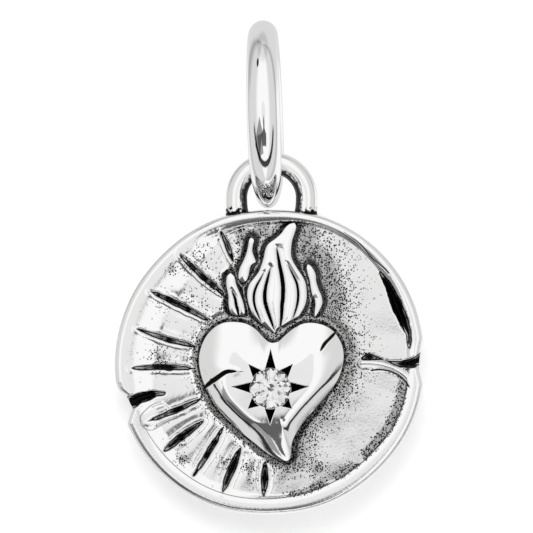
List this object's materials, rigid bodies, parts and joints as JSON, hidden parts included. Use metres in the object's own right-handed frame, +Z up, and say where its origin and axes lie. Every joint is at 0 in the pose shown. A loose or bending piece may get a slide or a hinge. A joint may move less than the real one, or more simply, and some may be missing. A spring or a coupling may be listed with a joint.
{
  "type": "pendant charm",
  "caption": "Round milagro charm with a domed heart, flames and rays in relief, a flush-set stone, a soldered eye and a bail ring for a chain.",
  "frame": {"origin": "centre of the bail ring, where the chain passes", "axes": "+Z up from the medal to the bail ring, +X to the viewer's right, and the medal faces -Y"},
  "size_m": [0.0191, 0.0116, 0.0305],
  "materials": {
    "polished_silver": "polished silver with dark oxide left in the cuts",
    "oxidised_silver": "cast silver, stippled field with dark oxide in the hollows and a polished rim",
    "clear_stone": "colourless round brilliant"
  },
  "bodies": {
    "bail": {"bail_ring": "polished_silver"},
    "medal": {"medal_disc": "oxidised_silver", "hanging_eye": "polished_silver", "heart": "polished_silver", "main_flame": "polished_silver", "upper_left_flame": "polished_silver", "lower_left_flame": "polished_silver", "right_flame": "polished_silver", "gemstone": "clear_stone"}
  },
  "joints": [
    {"name": "medal_swing", "type": "hinge", "parent": "bail", "child": "medal", "pos_m": [0, 0, 0], "axis": [0.9996, 0, 0.0279], "range_deg": [-150, 150]}
  ]
}
